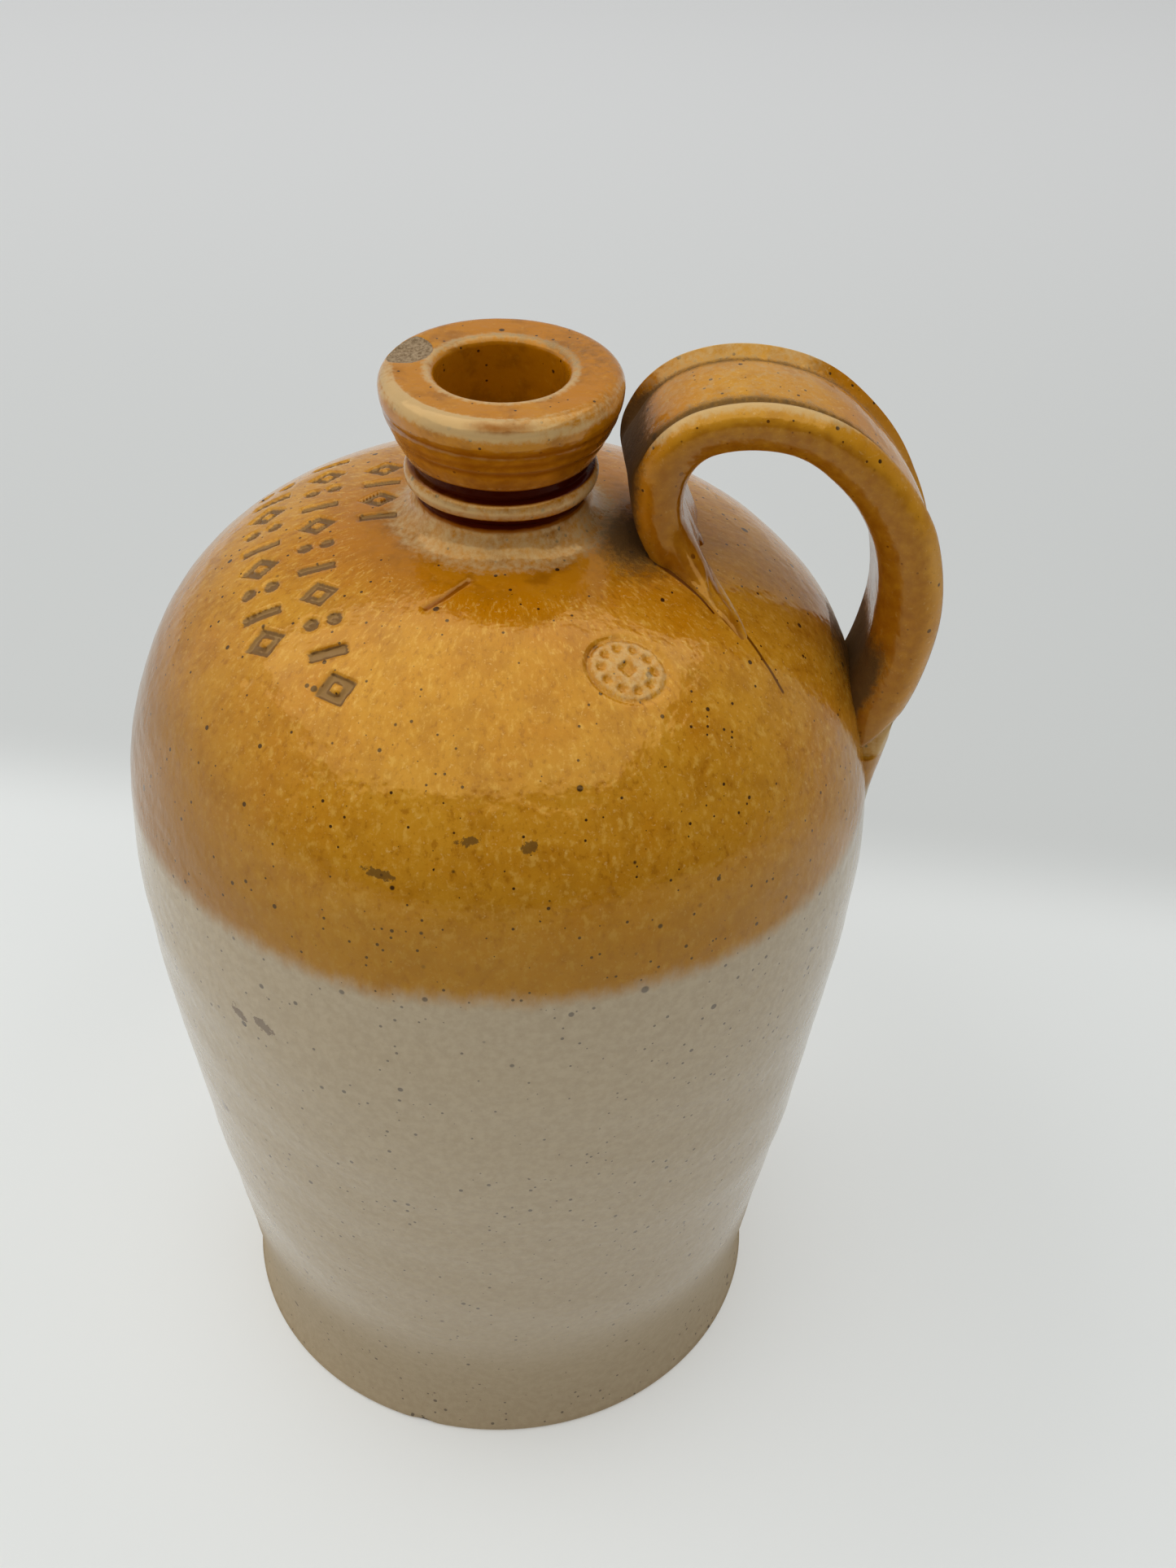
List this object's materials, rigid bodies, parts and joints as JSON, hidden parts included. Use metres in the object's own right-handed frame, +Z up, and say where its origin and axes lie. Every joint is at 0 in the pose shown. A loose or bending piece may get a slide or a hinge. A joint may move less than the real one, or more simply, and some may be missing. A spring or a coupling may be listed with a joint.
{
  "type": "stoneware flagon jar",
  "caption": "Two-tone glazed stoneware flagon with a tapered body, round shoulder, narrow corked neck and a grooved strap handle.",
  "frame": {"origin": "centre of the flat base, on the surface that the jar stands on", "axes": "+Z up along the jar's axis and its bore, +X towards the strap handle"},
  "size_m": [0.2001, 0.19, 0.3034],
  "materials": {
    "glazed_stoneware": "gloss glaze, honey brown above a dip line on the shoulder and grey cream below it"
  },
  "bodies": {
    "root": {"jar": "glazed_stoneware"}
  },
  "joints": []
}
